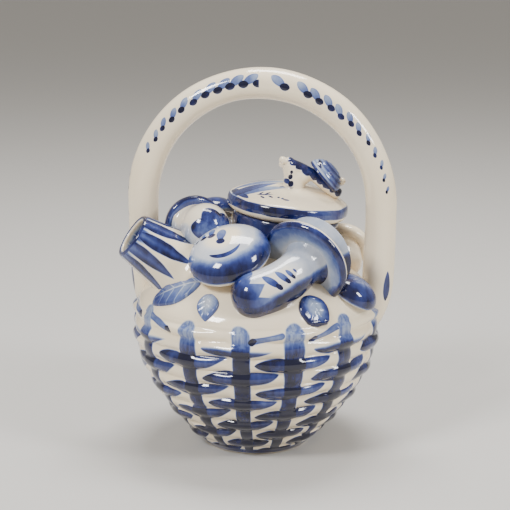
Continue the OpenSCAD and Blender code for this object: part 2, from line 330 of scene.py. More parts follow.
def make_cobalt_glaze():
    """Turns an amount of cobalt into the fired colour, with the glaze's tone and ripple."""
    tree, start, end = new_group(
        "cobalt_glaze",
        [("Paint", 0.0)],
        [("Color", "NodeSocketColor"), ("Roughness", "NodeSocketFloat"),
         ("Height", "NodeSocketFloat")])
    s = Sums(tree)
    cloud = s.mottle(95.0, 3.0)
    streak = s.mottle(420.0, 2.0, (1.0, 1.0, 0.35))
    uneven = s.add(s.step(cloud, 0.3, 0.7, 0.84, 1.10), s.step(streak, 0.3, 0.7, -0.06, 0.06))
    amount = s.mul(start.outputs["Paint"], uneven)
    ramp = s.node("ShaderNodeValToRGB")
    colours = [
        (0.00, (0.930, 0.806, 0.606)),
        (0.10, (0.640, 0.645, 0.660)),
        (0.28, (0.300, 0.370, 0.520)),
        (0.46, (0.095, 0.140, 0.345)),
        (0.66, (0.026, 0.042, 0.185)),
        (0.84, (0.008, 0.012, 0.075)),
        (1.00, (0.003, 0.004, 0.024)),
    ]
    while len(ramp.color_ramp.elements) < len(colours):
        ramp.color_ramp.elements.new(0.5)
    for element, (position, colour) in zip(ramp.color_ramp.elements, colours):
        element.position = position
        element.color = (*colour, 1.0)
    s.put(ramp.inputs[0], amount)
    warm = s.node("ShaderNodeMix", data_type="RGBA", blend_type="MULTIPLY")
    s.put(warm.inputs["Factor"], 1.0)
    s.put(warm.inputs["A"], ramp.outputs["Color"])
    tone = s.node("ShaderNodeMix", data_type="RGBA")
    s.put(tone.inputs["Factor"], s.step(s.mottle(28.0, 2.0), 0.35, 0.65))
    tone.inputs["A"].default_value = (1.0, 1.0, 1.0, 1.0)
    tone.inputs["B"].default_value = (0.985, 0.965, 0.930, 1.0)
    s.put(warm.inputs["B"], tone.outputs["Result"])
    s.tree.links.new(warm.outputs["Result"], end.inputs["Color"])
    s.tree.links.new(s.step(s.mottle(160.0, 2.0), 0.3, 0.7, 0.07, 0.13),
                     end.inputs["Roughness"])
    ripple = s.add(s.mul(s.mottle(110.0, 1.0), 0.7), s.mul(s.mottle(600.0, 1.0), 0.06))
    s.tree.links.new(ripple, end.inputs["Height"])
    return tree


brush_stroke = make_brush_stroke()
cobalt_glaze = make_cobalt_glaze()


def glazed(name, paint_of, ripple=0.12):
    """A glossy porcelain material whose cobalt amount paint_of(sums) gives."""
    material = bpy.data.materials.new(name)
    material.use_nodes = True
    tree = material.node_tree
    s = Sums(tree)
    surface = tree.nodes["Principled BSDF"]
    glaze = s.node("ShaderNodeGroup", node_tree=cobalt_glaze)
    s.put(glaze.inputs["Paint"], paint_of(s))
    tree.links.new(glaze.outputs["Color"], surface.inputs["Base Color"])
    tree.links.new(glaze.outputs["Roughness"], surface.inputs["Roughness"])
    bump = s.node("ShaderNodeBump")
    bump.inputs["Strength"].default_value = ripple
    bump.inputs["Distance"].default_value = 0.0006
    tree.links.new(glaze.outputs["Height"], bump.inputs["Height"])
    tree.links.new(bump.outputs["Normal"], surface.inputs["Normal"])
    surface.inputs["IOR"].default_value = 1.52
    surface.inputs["Coat Weight"].default_value = 0.35
    surface.inputs["Coat Roughness"].default_value = 0.03
    return material


def stroke(s, along, across, half_length, half_width, skew=0.0, start=0.6, end=0.9):
    """Places one brush stroke in a material and gives its paint."""
    made = s.node("ShaderNodeGroup", node_tree=brush_stroke)
    for socket, value in zip(made.inputs, (along, across, half_length, half_width, skew,
                                           start, end)):
        s.put(socket, value)
    return made.outputs["Paint"]


def body_profile(w):
    """Radius and height along the closed outline: outer skin up, then the cavity down."""
    if w < 0.04:
        return 24.0 * w / 0.04, 2.0
    if w < 0.07:
        t = (w - 0.04) / 0.03
        return 24.0 + 1.2 * t, 2.0 * (1.0 - t)
    if w < 0.10:
        t = (w - 0.07) / 0.03
        return 25.2 + (foot_r - 0.8 - 25.2) * t, 0.0
    if w < 0.64:
        z = rim_h * ((w - 0.10) / 0.54) ** 1.06
        return wall_r(z), z
    if w < 0.80:
        r = rim_r * math.cos(math.pi / 2 * (w - 0.64) / 0.16)
        return max(r, 0.0), shoulder_z(r)
    if w < 0.88:
        r = (rim_r - wall_t) * math.sin(math.pi / 2 * (w - 0.80) / 0.08)
        return r, rim_h + (shoulder_h - wall_t) * max(0.0, 1 - (r / (rim_r - wall_t)) ** 2) ** 0.75
    if w < 0.97:
        z = rim_h - (rim_h - 6.0) * (w - 0.88) / 0.09
        return wall_r(z) - wall_t - 0.9, z
    return (wall_r(6.0) - wall_t - 0.9) * max(0.0, (1.0 - w) / 0.03), 6.0


def basket_point(u, w):
    turn = (u - 0.5) * stave_count
    angle = math.radians(-90.0 + stave_turn + turn * 360.0 / stave_count)
    r, z = body_profile(w)
    if 0.10 <= w < 0.64:
        r += weave_height(turn, z) - 2.2 * ease((z - 2.5) / 5.0) * ease((rim_h - z) / 3.5)
    return r * math.cos(angle), r * math.sin(angle), z


def basket_paint(s):
    x, y, z = s.split(s.place())
    x = s.mul(x, 1000.0)
    y = s.mul(y, 1000.0)
    z = s.mul(z, 1000.0)
    angle = s.do("DEGREES", s.do("ARCTAN2", x, s.mul(y, -1.0)))
    wobble = s.mul(s.sub(s.mottle(45.0, 1.0), 0.5), 0.16)
    angle = s.do("WRAP", s.sub(angle, stave_turn), 180.0, -180.0)
    turn = s.add(s.mul(angle, stave_count / 360.0), wobble)
    row = s.mul(s.do("POWER", s.do("MAXIMUM", s.mul(z, 1.0 / rim_h), 0.0), 1.0 / row_power), rows)
    row = s.add(row, s.mul(s.sub(s.mottle(38.0, 1.0), 0.5), 0.7))
    nearest = s.do("ROUND", turn)
    stray = s.mul(s.do("SINE", s.sub(nearest, 0.2)), stave_stray)
    off_stave = s.add(s.sub(turn, nearest), stray)
    strand = s.do("FLOOR", row)
    rim_row = rows - 0.35
    # A broad upright stroke down each stave, pale where it starts and darkest low down
    brush_lines = s.mottle(900.0, 2.0, (1.0, 1.0, 0.05))
    top_row = s.add(rim_row - 0.05, s.mul(s.do("SINE", s.sub(s.mul(nearest, 1.3), 1.9)), 0.15))
    past_top = s.mul(s.do("MAXIMUM", s.sub(row, top_row), 0.0), 0.26)
    upright_edge = s.sub(0.165, s.do("SQRT", s.add(s.mul(off_stave, off_stave),
                                                   s.mul(past_top, past_top))))
    load = s.step(row, rim_row - 1.8, rim_row - 0.3, 0.95, 0.42)
    load = s.add(load, s.step(row, 2.0, 6.5, 0.10, 0.0))
    load = s.add(load, s.step(brush_lines, 0.3, 0.7, -0.08, 0.05))
    upright = s.mul(s.step(upright_edge, 0.0, 0.035), load)
    # A long stroke across each stave on every second strand, staggered between neighbours
    odd_strand = s.do("PINGPONG", strand, 1.0)
    first = s.sub(1.0, odd_strand)
    crossed = s.add(s.mul(s.do("ROUND", s.mul(s.sub(turn, first), 0.5)), 2.0), first)
    crossed_stray = s.mul(s.do("SINE", s.sub(crossed, 0.2)), stave_stray)
    off_cross = s.add(s.sub(turn, crossed), crossed_stray)
    middle = s.sub(s.sub(row, strand), 0.5)
    lift = s.mul(s.do("POWER", s.do("MAXIMUM", s.add(off_cross, 0.1), 0.0), 2.0), -0.7)
    low_load = s.step(row, 7.5, 2.5, 0.0, 0.20)
    cross = stroke(s, off_cross, s.add(middle, lift), 0.66, 0.58, -0.10,
                   s.add(low_load, 0.90), s.add(low_load, 0.66))
    tip = stroke(s, s.mul(s.add(off_cross, 0.52), 30.0), s.mul(s.add(middle, 0.02), 8.0), 2.2,
                 1.7, 0.0, 0.97, 0.97)
    tip_kept = s.step(s.do("SINE", s.add(s.mul(strand, 1.9), s.mul(crossed, 2.3))), -0.2, 0.0)
    cross = s.most(cross, s.mul(tip, tip_kept))
    cross = s.mul(cross, s.step(row, rim_row - 1.3, rim_row - 1.0, 1.0, 0.0))
    # A blunt blue tilted bar on the rim between most staves, with a dark dot at its lower end
    between = s.sub(turn, 0.47)
    gap = s.do("ROUND", between)
    off_bar = s.sub(between, gap)
    tilt = s.do("SINE", s.add(s.mul(gap, 0.9), 0.7))
    bar_middle = s.sub(rim_h - 4.0, s.mul(s.do("SINE", s.add(s.mul(gap, 0.9), 1.5)), 2.0))
    bar_height = s.sub(s.sub(z, bar_middle), s.mul(off_bar, s.mul(tilt, 9.0)))
    past_end = s.do("MAXIMUM", s.sub(s.mul(s.do("ABSOLUTE", off_bar), stave_gap),
                                           bar_half_len), 0.0)
    bar_edge = s.sub(bar_half_width, s.do("SQRT", s.add(s.mul(past_end, past_end),
                                                        s.mul(bar_height, bar_height))))
    bar = s.mul(s.step(bar_edge, 0.0, 0.6), s.step(bar_edge, 0.4, 1.4, 0.62, 0.50))
    dot_side = s.mul(s.do("SIGN", tilt), 0.26)
    dot = stroke(s, s.mul(s.add(off_bar, dot_side), stave_gap), bar_height, 2.3, 2.2, 0.0, 0.97,
                 0.97)
    bare_gap = s.do("COSINE", s.mul(s.add(gap, 1.0), 2 * math.pi / 3.25))
    bars = s.mul(s.most(bar, dot), s.step(bare_gap, 0.4, 0.6, 1.0, 0.0))
    foot = s.mul(s.step(z, 0.8, 1.4), s.step(z, 3.4, 4.6, 1.0, 0.0))
    radius = s.do("SQRT", s.add(s.mul(x, x), s.mul(y, y)))
    outside = s.step(radius, foot_r - 0.5, foot_r)
    crossing = s.mul(s.do("MINIMUM", upright, cross), 0.34)
    woven = s.mul(s.add(s.most(upright, cross), crossing), s.step(z, 3.0, 4.0))
    painted = s.most(woven, bars, s.mul(s.mul(foot, outside), 0.80))
    # The inside of the wall stays white
    share = s.do("POWER", s.mul(s.do("MAXIMUM", z, 0.0), 1.0 / belly_z), 0.95)
    outer_wall = s.add(foot_r, s.mul(s.do("SINE", s.mul(share, math.pi / 2)), belly_r - foot_r))
    skin = s.step(s.sub(radius, outer_wall), -3.8, -3.3)
    return s.mul(s.mul(painted, skin), s.step(z, rim_h + 4.0, rim_h + 6.0, 1.0, 0.0))


basket = rolled_sheet(312, 220, basket_point)
cutter = bmesh.new()
bmesh.ops.create_cone(cutter, cap_ends=True, segments=64, radius1=neck_bore_r * MM,
                      radius2=neck_bore_r * MM, depth=neck_cut_len * MM)
to_place(cutter, seat - neck_axis * cut_start, neck_axis)
holes = bmesh.new()
for index in range(strainer_holes):
    ring_turn = Matrix.Rotation(math.radians(60 * index), 3, "Z")
    in_ring = index < strainer_holes - 1
    off_axis = ring_turn @ Vector((strainer_ring_r if in_ring else 0.0, 0.0, 0.0))
    made = bmesh.ops.create_cone(holes, cap_ends=True, segments=16,
                                 radius1=strainer_hole_r * MM, radius2=strainer_hole_r * MM,
                                 depth=strainer_cut_len * MM)
    bmesh.ops.translate(holes, vec=off_axis * MM, verts=made["verts"])
to_place(holes, spout_root - spout_axis * cut_start, spout_axis)


def cut_with(piece, *cutters):
    """Cuts shapes out of a piece and keeps the result as its mesh."""
    for shape in cutters:
        mesh = bpy.data.meshes.new("cutter")
        shape.to_mesh(mesh)
        shape.free()
        tool = bpy.data.objects.new("cutter", mesh)
        bpy.context.collection.objects.link(tool)
        cut = piece.modifiers.new("cut", "BOOLEAN")
        cut.operation = "DIFFERENCE"
        cut.solver = "EXACT"
        cut.object = tool
        bpy.context.view_layer.update()
        result = bpy.data.meshes.new_from_object(
            piece.evaluated_get(bpy.context.evaluated_depsgraph_get()))
        piece.modifiers.remove(cut)
        old = piece.data
        piece.data = result
        result.name = piece.name
        bpy.data.meshes.remove(old)
        bpy.data.objects.remove(tool)
        bpy.data.meshes.remove(mesh)


basket_piece = make_piece("woven_basket", basket, "pot", ["basket_body"],
                          glazed("basket_porcelain", basket_paint))
cut_with(basket_piece, cutter, holes)

# ---- Neck collar -------------------------------------------------------------------------
# A raised ring that the lid sits on, luted to the shoulder off centre and leaning a little to
# the right. Its outside is painted solid dark cobalt; the seat and the bore stay white.

collar_r = 29.5
collar_outline = [
    (neck_bore_r, None), (neck_bore_r, -1.2), (neck_bore_r + 0.5, -0.3), (neck_bore_r + 1.4, 0.0),
    (collar_r - 1.5, 0.0), (collar_r - 0.5, -0.3), (collar_r, -1.3), (collar_r, -6.0),
    (collar_r + 0.1, -9.0), (collar_r + 1.4, None),
]
neck_x = Vector((math.cos(neck_lean), 0.0, -math.sin(neck_lean)))
neck_y = Vector((0.0, 1.0, 0.0))


def buried_depth(point, direction, limit):
    """Distance from point back along direction to a little under the shoulder."""
    depth = 0.0
    while depth < limit:
        test = point - direction * depth
        if test.z < shoulder_z(math.hypot(test.x, test.y)) - 2.2:
            break
        depth += 0.25
    return depth


def collar_point(u, w):
    angle = 2 * math.pi * u
    last = len(collar_outline) - 1
    position = w * last
    index = min(int(position), last - 1)
    share = position - index
    across = neck_x * math.cos(angle) + neck_y * math.sin(angle)
    ends = []
    for r, height in (collar_outline[index], collar_outline[index + 1]):
        if height is None:
            height = -buried_depth(seat + across * r, neck_axis, 32.0)
        ends.append(seat + across * r + neck_axis * height)
    return ends[0].lerp(ends[1], share)


def collar_paint(s):
    x, y, _ = s.split(s.local(seat, own_frame(neck_axis)))
    radius = s.do("SQRT", s.add(s.mul(x, x), s.mul(y, y)))
    edge = s.add(radius, s.mul(s.sub(s.mottle(260.0), 0.5), 0.8))
    return s.mul(s.step(edge, collar_r - 1.3, collar_r - 0.6), 0.86)


collar = rolled_sheet(96, 36, collar_point)
make_piece("neck_ring", collar, "pot", ["neck_collar"],
           glazed("collar_porcelain", collar_paint))

# ---- Spout -------------------------------------------------------------------------------
# A short hollow cone luted over the strainer holes, flaring where it meets the shoulder. The
# lip is a dark cobalt ring, and ten long petal strokes run back from it.

mouth_r = 12.8
spout_len = 30.0
spout_wall = 3.0
petals = 10


def spout_outer_r(z):
    return mouth_r + 0.172 * (spout_len - z) + 2.6 * math.exp(-max(z, -3.0) / 4.5)


def spout_point(u, w):
    angle = 2 * math.pi * u
    side = Vector((math.cos(angle), math.sin(angle), 0.0))
    frame_turn = own_frame(spout_axis).to_matrix()
    if w < 0.46:
        start = spout_root + frame_turn @ (side * (mouth_r + 6.5)) + spout_axis * 12.0
        foot = 12.0 - buried_depth(start, spout_axis, 34.0)
        z = foot + (spout_len - 1.4 - foot) * w / 0.46
        r = spout_outer_r(z)
    elif w < 0.56:
        turn = math.pi * (w - 0.46) / 0.10
        half = spout_wall / 2
        r = spout_outer_r(spout_len) - half + half * math.cos(turn) + 0.15 * math.sin(turn)
        z = spout_len - 1.4 + 1.4 * math.sin(turn)
    else:
        start = spout_root + frame_turn @ (side * (mouth_r + 2.0)) + spout_axis * 12.0
        foot = 12.0 - buried_depth(start, spout_axis, 34.0)
        z = spout_len - 1.4 + (foot - spout_len + 1.4) * (w - 0.56) / 0.44
        r = mouth_r + 0.172 * (spout_len - z) - spout_wall
    return spout_root + frame_turn @ (side * r) + spout_axis * z


def spout_paint(s):
    x, y, z = s.split(s.local(spout_root, own_frame(spout_axis)))
    radius = s.do("SQRT", s.add(s.mul(x, x), s.mul(y, y)))
    angle = s.mul(s.do("ARCTAN2", y, x), petals / (2 * math.pi))
    angle = s.add(angle, s.mul(s.sub(s.mottle(50.0), 0.5), 0.25))
    petal = s.do("ROUND", angle)
    off = s.mul(s.sub(angle, petal), 2 * math.pi / petals)
    across = s.mul(off, radius)
    length_change = s.mul(s.do("SINE", s.mul(petal, 2.4)), 2.2)
    along = s.add(s.sub(z, 16.0), length_change)
    leaf = stroke(s, along, across, 17.0, 3.9, 0.38, 0.90, 0.70)
    centre = s.step(s.do("ABSOLUTE", across), 0.0, 2.4, 0.82, 1.08)
    leaf = s.mul(leaf, centre)
    near_rim = s.mul(s.step(z, spout_len - 8.5, spout_len - 0.5), 0.66)
    near_rim = s.mul(near_rim, s.step(s.do("ABSOLUTE", across), 4.6, 2.8))
    rim = s.mul(s.step(s.add(z, s.mul(s.sub(s.mottle(200.0), 0.5), 0.9)), spout_len - 1.7,
                       spout_len - 0.9), 0.86)
    outer = s.step(radius, mouth_r - 2.7, mouth_r - 2.0)
    return s.mul(s.most(leaf, near_rim, rim), outer)


spout = rolled_sheet(96, 84, spout_point)
make_piece("spout_cone", spout, "pot", ["spout"],
           glazed("spout_porcelain", spout_paint))

# ---- Handle ------------------------------------------------------------------------------
# A thick round rod of clay bent into an arch and luted to the rim on both sides. Rows of dark
# dots, each with a paler comma stroke, run down its front and its back from the top.

arch_r = 66.0
arch_x = 2.5
handle_d = 17.0
total_h = 210.0
arch_z = total_h - handle_d / 2 - arch_r
handle_turn = math.radians(-8.0)
upright_bend_r = 800.0
upright_bend = math.radians(2.9)
foot_bend_r = 40.0
foot_bend = math.radians(42.0)
half_arch = arch_r * math.pi / 2
upright_len = upright_bend_r * upright_bend
foot_len = foot_bend_r * foot_bend
half_len = half_arch + upright_len + foot_len


def handle_route(s):
    """Middle of the section and the outward angle at distance s from the arch's top."""
    d = abs(s)
    if d < half_arch:
        a = math.pi / 2 - d / arch_r
        x, z, out = arch_r * math.cos(a), arch_r * math.sin(a), a
    else:
        b = min((d - half_arch) / upright_bend_r, upright_bend)
        x = arch_r + upright_bend_r * (math.cos(b) - 1)
        z = -upright_bend_r * math.sin(b)
        out = -b
        if d > half_arch + upright_len:
            c = upright_bend + (d - half_arch - upright_len) / foot_bend_r
            x += foot_bend_r * (math.cos(c) - math.cos(upright_bend))
            z -= foot_bend_r * (math.sin(c) - math.sin(upright_bend))
            out = -c
    if s < 0:
        x, out = -x, math.pi - out
    return x, z, out


handle_matrix = Matrix.Rotation(handle_turn, 3, "Z")


def handle_point(u, w):
    s = (w * 2 - 1) * half_len
    x, z, out = handle_route(s)
    phi = 2 * math.pi * u
    thick = handle_d / 2 * (1.0 + 0.015 * math.sin(s / 17.0) + 0.01 * math.sin(s / 7.3 + 1.0))
    flare = 1.0 + 0.16 * ease((abs(s) - half_arch - upright_len) / foot_len)
    reach = thick * flare * math.cos(phi)
    depth = thick * flare * math.sin(phi)
    local = Vector((x + reach * math.cos(out) + arch_x, depth, z + reach * math.sin(out) + arch_z))
    return handle_matrix @ local


def comma_row(s, distance, phi, left, step_on):
    """The dots and commas of one row, seen from the dot step_on places further down."""
    pitch = s.add(6.8, s.mul(left, 0.6))
    first = s.mul(left, 0.6)
    count = s.add(s.do("ROUND", s.do("DIVIDE", s.sub(distance, first), pitch)), step_on)
    spot = s.add(first, s.mul(count, pitch))
    # The row keeps to the front of the arch and turns outwards down the left upright
    row_phi = s.add(s.step(spot, 38.0, 84.0, 88.0, 65.0),
                    s.mul(left, s.step(spot, 38.0, 84.0, -2.0, 15.0)))
    row_phi = s.sub(row_phi, s.mul(left, s.step(spot, 81.0, 83.0, 0.0, 60.0)))
    along = s.add(s.sub(distance, spot), s.mul(s.do("SINE", s.mul(count, 5.1)), 0.4))
    across = s.mul(s.sub(phi, row_phi), handle_d / 2 * math.pi / 180)
    across = s.add(across, s.mul(s.do("SINE", s.mul(count, 3.3)), 0.3))
    size = s.step(spot, 5.0, 112.0, 1.0, 0.30)
    dot = stroke(s, along, across, s.mul(size, 2.9), s.mul(size, 2.3), 0.0, 0.98, 0.98)
    # Each comma leans from its dot towards the arch's top and its outer edge
    tail_along = s.add(s.mul(along, 0.84), s.mul(across, 0.54))
    tail_across = s.sub(s.mul(across, 0.84), s.mul(along, 0.54))
    tail_half = s.mul(size, 4.8)
    comma = stroke(s, s.add(tail_along, s.mul(tail_half, 0.95)), tail_across, tail_half,
                   s.mul(size, 2.6), -0.15, 0.34, 0.48)
    right_kept = s.mul(s.step(spot, 9.5, 10.0), s.step(spot, 95.5, 97.0, 1.0, 0.0))
    right_kept = s.mul(right_kept, s.step(s.do("ABSOLUTE", s.sub(spot, 20.4)), 1.0, 2.0))
    left_kept = s.add(s.step(spot, 77.5, 79.0, 1.0, 0.0),
                      s.mul(s.step(spot, 84.0, 85.0), s.step(spot, 116.0, 118.0, 1.0, 0.0)))
    kept = s.add(s.mul(left, left_kept), s.mul(s.sub(1.0, left), right_kept))
    return s.mul(s.most(dot, comma), kept)


def handle_paint(s):
    centre = handle_matrix @ Vector((arch_x, 0.0, arch_z))
    x, y, z = s.split(s.local(centre, (0.0, 0.0, handle_turn)))
    above = s.do("MAXIMUM", z, 0.0)
    below = s.do("MAXIMUM", s.mul(z, -1.0), 0.0)
    side = s.do("ABSOLUTE", x)
    reach = s.sub(s.do("SQRT", s.add(s.mul(x, x), s.mul(above, above))), arch_r)
    reach = s.add(reach, s.mul(below, 0.03))
    distance = s.add(s.mul(s.do("ARCTAN2", side, above), arch_r), below)
    left = s.step(x, -0.1, 0.1, 1.0, 0.0)
    phi = s.do("DEGREES", s.do("ARCTAN2", s.do("ABSOLUTE", y), reach))
    row = s.most(comma_row(s, distance, phi, left, 0.0), comma_row(s, distance, phi, left, 1.0))
    # A long dark stroke down the front of each upright's foot
    foot_phi = s.sub(50.0, s.mul(left, 22.0))
    foot_stroke = stroke(s, s.sub(distance, half_arch + 43.0),
                         s.mul(s.sub(phi, foot_phi), 0.148), 8.6, 2.3, 0.25, 0.80, 0.92)
    return s.most(row, foot_stroke)


handle = rolled_sheet(40, 260, handle_point)
make_piece("arch_handle", handle, "pot", ["handle"],
           glazed("handle_porcelain", handle_paint))

# ---- Left mushroom -----------------------------------------------------------------------
# A hand-formed mushroom lying on its side with the fat end of its stem to the front. The
# underside of its cap has a grey blue wash and a blue rim, and the stem end a dark blossom.

left_pos = Vector((-34.6, -2.0, 124.0))
left_axis = Vector((-0.35, 0.92, 0.15)).normalized()
left_stem_axis = Vector((0.50, -0.86, 0.08)).normalized()
left_r = 16.5
left_stem_len = 26.0
left_end_r = 13.3


def facing(axis):
    """Euler angles of a frame with +Z along axis and +X level, to the right seen from outside."""
    out = Vector(axis).normalized()
    right = Vector((0.0, 0.0, 1.0)).cross(out).normalized()
    return Matrix((right, out.cross(right), out)).transposed().to_euler("XYZ")


def smooth_route(points, w):
    """Values at share w along a smooth curve through the listed rows of values."""
    last = len(points) - 1
    position = min(max(w, 0.0), 1.0) * last
    index = min(int(position), last - 1)
    t = position - index
    before = points[max(index - 1, 0)]
    after = points[min(index + 2, last)]
    return [0.5 * (2 * b + (c - a) * t + (2 * a - 5 * b + 4 * c - d) * t * t
                   + (3 * b - a - 3 * c + d) * t ** 3)
            for a, b, c, d in zip(before, points[index], points[index + 1], after)]


def cap_shape(place, axis, r, h, lip, dip, uneven=0.012):
    """A closed cap: hollowed underside, rolled lip and dome, slightly uneven by hand."""
    turn = own_frame(axis).to_matrix()

    def point(u, w):
        angle = 2 * math.pi * u
        if w < 0.34:
            t = w / 0.34
            radius, height = (r - lip) * t, -lip + dip * (1.0 - t * t)
        elif w < 0.50:
            a = math.pi / 2 * ((w - 0.34) / 0.16 - 1.0)
            radius, height = r - lip + lip * math.cos(a), lip * math.sin(a)
        else:
            a = math.pi * (w - 0.50)
            radius, height = r * math.cos(a), h * math.sin(a)
        radius *= 1.0 + uneven * math.cos(2 * angle + 1.0) + 0.6 * uneven * math.cos(3 * angle)
        return place + turn @ Vector((radius * math.cos(angle), radius * math.sin(angle), height))

    return rolled_sheet(96, 80, point)


def stem_shape(place, axis, length, neck_r, end_r, flare=2.5):
    """A closed straight stem that flares where it meets its cap and ends in a round bulb."""
    turn = own_frame(axis).to_matrix()

    def point(u, w):
        angle = 2 * math.pi * u
        if w < 0.1:
            radius, along = (neck_r + flare) * w / 0.1, -0.6
        elif w < 0.6:
            t = (w - 0.1) / 0.5
            along = -0.6 + (length - end_r + 0.6) * t
            radius = neck_r + (end_r - neck_r) * ease(t) + flare * math.exp(-along / 2.2) * (1 - t)
        else:
            a = math.pi / 2 * (w - 0.6) / 0.4
            radius, along = end_r * math.cos(a), length - end_r + end_r * math.sin(a)
        radius *= 1.0 + 0.015 * math.cos(2 * angle + 0.5)
        return place + turn @ Vector((radius * math.cos(angle), radius * math.sin(angle), along))

    return rolled_sheet(80, 60, point)


def dab(s, x, y, centre, turn, half_length, half_width, start, end, skew=0.0, bend=0.0):
    """A brush stroke at a point of the plane (x, y) in mm, turned by degrees and bent."""
    dx = s.sub(x, centre[0])
    dy = s.sub(y, centre[1])
    cos_turn = math.cos(math.radians(turn))
    sin_turn = math.sin(math.radians(turn))
    along = s.add(s.mul(dx, cos_turn), s.mul(dy, sin_turn))
    across = s.sub(s.mul(dy, cos_turn), s.mul(dx, sin_turn))
    across = s.sub(across, s.mul(s.mul(along, along), bend))
    return stroke(s, along, across, half_length, half_width, skew, start, end)


def span(s, x, y):
    """Distance from the local axis, and the angle round it."""
    return s.do("SQRT", s.add(s.mul(x, x), s.mul(y, y))), s.do("ARCTAN2", y, x)


def left_cap_paint(s):
    x, y, z = s.split(s.local(left_pos, facing(-left_axis)))
    radius, _ = span(s, x, y)
    radius = s.add(radius, s.mul(s.sub(s.mottle(160.0), 0.5), 1.6))
    below = s.step(radius, left_r - 12.5, left_r - 3.5, 0.20, 0.60)
    rim = s.step(radius, left_r - 2.2, left_r - 0.7, 0.0, 0.84)
    dome = s.mul(s.step(z, 1.0, -6.0), s.step(radius, 4.0, left_r, 0.30, 0.62))
    return s.most(below, rim, dome)


def left_stem_paint(s):
    end = left_pos + left_stem_axis * (left_stem_len - left_end_r)
    x, y, z = s.split(s.local(end, facing(left_stem_axis)))
    x = s.add(x, 1.0)
    y = s.add(y, 0.3)
    radius, angle = span(s, x, y)
    lobes = s.mul(s.do("ABSOLUTE", s.do("SINE", s.add(s.mul(angle, 2.5), 0.4))), 2.0)
    inside = s.sub(s.add(9.6, lobes), radius)
    petals_paint = s.add(s.step(inside, 0.0, 3.8, 0.94, 0.64),
                         s.step(s.mottle(300.0), 0.35, 0.65, -0.07, 0.07))
    blossom = s.mul(s.step(inside, 0.0, 0.5), petals_paint)
    veins = s.mul(s.step(s.do("ABSOLUTE", s.do("SINE", s.add(s.mul(angle, 2.5), 0.4))),
                         0.25, 0.05), s.step(inside, 0.2, 1.5, 0.0, 0.66))
    eye = dab(s, x, y, (0.6, -1.4), 70.0, 2.6, 1.9, 0.98, 0.98)
    shade = s.mul(s.step(s.add(x, s.mul(y, 0.4)), -9.0, -13.0), 0.24)
    front = s.step(z, -3.0, 1.0)
    return s.most(s.mul(s.most(blossom, veins, eye), front), shade, 0.03)


make_piece("left_mushroom_cap", cap_shape(left_pos, left_axis, left_r, 9.0, 2.4, 1.6), "pot",
           ["left_cap"], glazed("left_cap_porcelain", left_cap_paint))
make_piece("left_mushroom_stem",
           stem_shape(left_pos - left_axis * 2.4, left_stem_axis, left_stem_len, 11.0, left_end_r),
           "pot", ["left_stem"],
           glazed("left_stem_porcelain", left_stem_paint))

# ---- Front left mushroom cap --------------------------------------------------------------
# A round cap pressed on to the shoulder with its stem hidden under it. White on top, with four
# comma strokes that grow to the right, one curved stroke, and a wash that darkens lower right.

front_left_pos = Vector((-14.5, -38.0, 114.6))
front_left_axis = Vector((-0.22, -0.43, 0.87)).normalized()
front_left_r = 22.0


def front_left_paint(s):
    x, y, z = s.split(s.local(front_left_pos, facing(front_left_axis)))
    radius, angle = span(s, x, y)
    radius = s.add(radius, s.mul(s.sub(s.mottle(120.0), 0.5), 2.2))
    # How far a point lies towards the lower right, where the wash is deepest
    toward = s.add(0.5, s.mul(s.do("COSINE", s.add(angle, math.radians(48.0))), 0.5))
    reach = s.add(radius, s.mul(toward, 5.5))
    wash = s.mul(s.step(reach, 15.6, 26.2), s.add(0.38, s.mul(toward, 0.54)))
    upper_left = s.step(s.sub(y, x), 10.0, 22.0, 1.0, 0.35)
    wash = s.mul(wash, upper_left)
    pale_shade = s.mul(s.step(reach, 9.0, 16.0), 0.16)
    tails = s.most(
        dab(s, x, y, (-2.8, 2.6), 111.0, 5.6, 2.8, 0.62, 0.36, 0.25),
        dab(s, x, y, (-10.0, 5.0), 113.0, 4.2, 2.0, 0.62, 0.36, 0.25),
        dab(s, x, y, (-13.9, 2.6), 115.0, 2.6, 1.2, 0.55, 0.36))
    dots = s.most(
        dab(s, x, y, (-0.9, -2.3), 0.0, 2.6, 2.3, 0.96, 0.96),
        dab(s, x, y, (-8.4, 1.7), 20.0, 2.4, 2.1, 0.96, 0.96),
        dab(s, x, y, (-12.7, 0.3), 40.0, 2.1, 1.6, 0.96, 0.96),
        dab(s, x, y, (-16.2, -1.5), 70.0, 1.5, 0.9, 0.96, 0.96))
    bow_radius, bow_angle = span(s, s.add(x, 1.0), s.add(y, 1.5))
    bow_along = s.mul(s.add(bow_angle, math.radians(50.0)), 10.8)
    bow = stroke(s, bow_along, s.sub(bow_radius, 10.8), 10.2, 1.35, -0.15, 0.86, 0.56)
    marks = s.mul(s.most(tails, dots, bow), s.step(z, 1.0, 3.0))
    clean_lip = s.step(z, -1.6, 0.6)
    return s.mul(s.most(wash, pale_shade, marks), clean_lip)


make_piece("front_left_mushroom", cap_shape(front_left_pos, front_left_axis, front_left_r, 12.0,
                                            4.5, 1.0, 0.018),
           "pot", ["front_left_cap"],
           glazed("front_left_porcelain", front_left_paint))

# ---- Front right mushroom -----------------------------------------------------------------
# The largest mushroom, lying with its bent stem across the front. The stem widens smoothly into
# the hollow underside of the cap. Washes darken its fat end and lower edge, and four comma
# strokes cross its middle.

